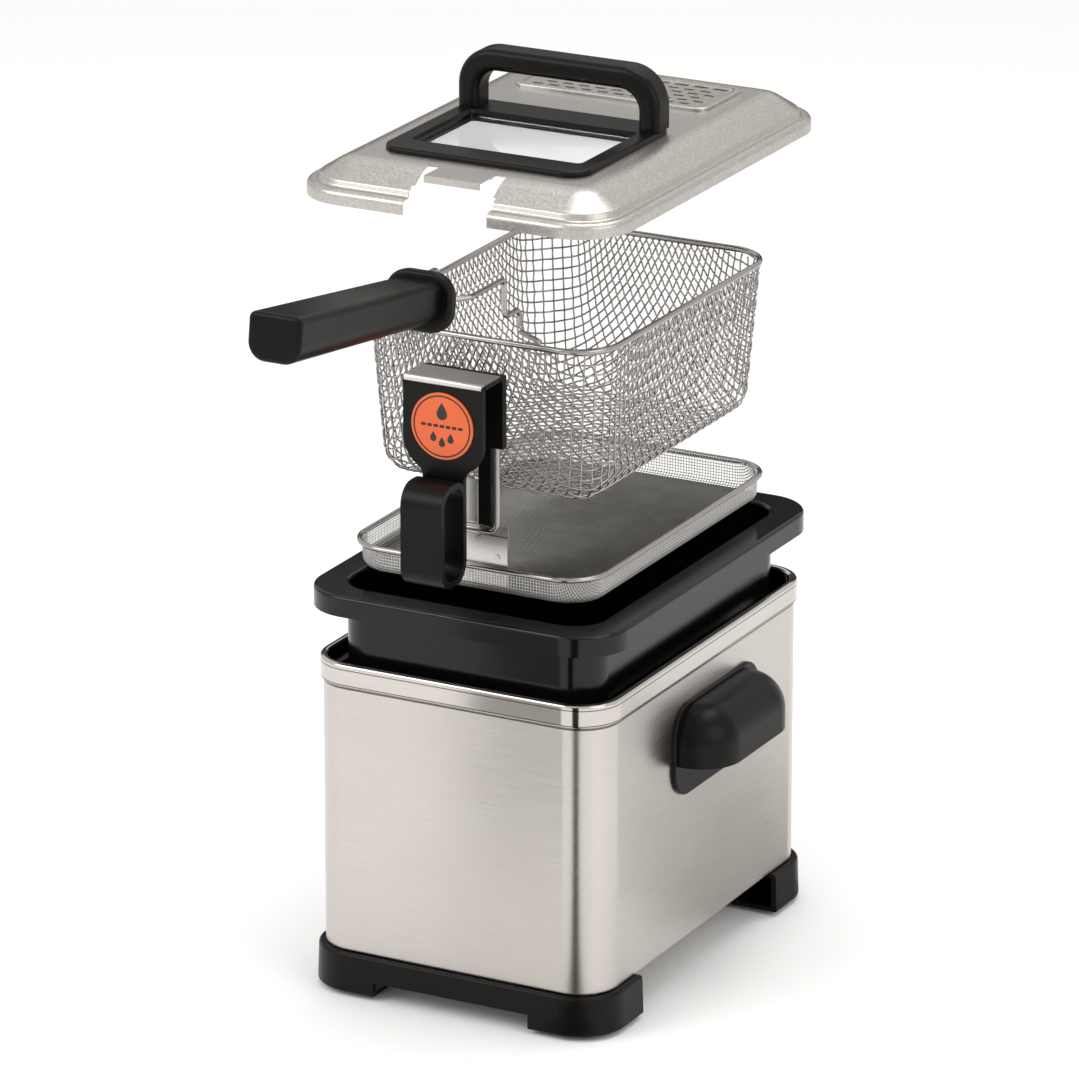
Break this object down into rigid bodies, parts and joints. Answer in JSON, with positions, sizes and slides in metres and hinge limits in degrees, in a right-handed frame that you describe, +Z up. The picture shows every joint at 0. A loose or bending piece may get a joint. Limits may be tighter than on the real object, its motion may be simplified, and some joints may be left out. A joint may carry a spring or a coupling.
{
  "type": "deep fryer",
  "caption": "Rectangular stainless deep fryer lifted apart: housing with side handles, black bowl, oil filter tray with lever, wire basket with handle, and lid with viewing window.",
  "frame": {"origin": "on the worktop, under the middle of the whole outline", "axes": "+X to the fryer's right, -Y to its front, +Z up"},
  "size_m": [0.304, 0.6116, 0.661],
  "materials": {
    "stainless": "brushed",
    "black_plastic": "satin",
    "rubber": "matt",
    "zinc_screw": "bright",
    "aluminium": "rolled",
    "nonstick": "black non-stick coating",
    "wire": "polished wire",
    "gauze": "fine woven gauze",
    "orange": "printed disc",
    "red_lens": "clear lens",
    "glass": "clear",
    "silicone": "matt",
    "ceramic": "moulded"
  },
  "bodies": {
    "housing": {"outer_shell": "stainless", "base_pan": "stainless", "front_foot_rail": "black_plastic", "rear_foot_rail": "black_plastic", "rubber_feet": "rubber", "foot_screws": "zinc_screw", "side_handle_right": "black_plastic", "side_handle_left": "black_plastic", "side_handle_screws": "zinc_screw", "heat_shield": "aluminium", "shield_posts": "zinc_screw", "heater_plate": "aluminium", "heating_element": "stainless", "element_clamps": "stainless", "thermostat_body": "ceramic", "thermostat_sensor": "stainless", "thermal_cutout": "ceramic", "terminal_block": "ceramic", "control_panel": "black_plastic", "control_panel_screws": "zinc_screw", "pilot_lamp": "red_lens", "power_inlet": "black_plastic"},
    "knob": {"thermostat_knob": "black_plastic"},
    "bowl": {"bowl": "nonstick"},
    "filter": {"filter_pan": "gauze", "filter_rim": "wire", "filter_tab": "stainless", "filter_bracket": "stainless", "bracket_rivets": "zinc_screw", "lever_wire": "wire", "lever_handle": "black_plastic", "lever_cap": "stainless", "lever_badge": "orange"},
    "basket": {"basket_mesh_floor": "wire", "basket_mesh_front": "wire", "basket_mesh_rear": "wire", "basket_mesh_left": "wire", "basket_mesh_right": "wire", "basket_mesh_corner_front_left": "wire", "basket_mesh_corner_front_right": "wire", "basket_mesh_corner_rear_left": "wire", "basket_mesh_corner_rear_right": "wire", "basket_rim": "wire", "handle_wires": "wire", "handle_collar": "black_plastic", "handle_grip": "black_plastic"},
    "lid": {"lid_shell": "stainless", "window_frame": "black_plastic", "window_glass": "glass", "window_gasket": "silicone", "lid_handle": "black_plastic", "lid_screws": "zinc_screw", "vent_grille": "stainless", "steam_filter": "gauze"}
  },
  "joints": [
    {"name": "knob_turn", "type": "hinge", "parent": "housing", "child": "knob", "pos_m": [-0.038, 0.28876, 0.108], "axis": [0, 1, 0], "range_deg": [0, 270]},
    {"name": "bowl_lift", "type": "slide", "parent": "housing", "child": "bowl", "axis": [0, 0, 1], "range_m": [-0.049, 0.13]},
    {"name": "filter_lift", "type": "slide", "parent": "bowl", "child": "filter", "axis": [0, 0, 1], "range_m": [-0.1678, 0]},
    {"name": "basket_lift", "type": "slide", "parent": "filter", "child": "basket", "axis": [0, 0, 1], "range_m": [-0.0608, 0]},
    {"name": "lid_lift", "type": "slide", "parent": "basket", "child": "lid", "axis": [0, 0, 1], "range_m": [-0.065, 0]}
  ]
}
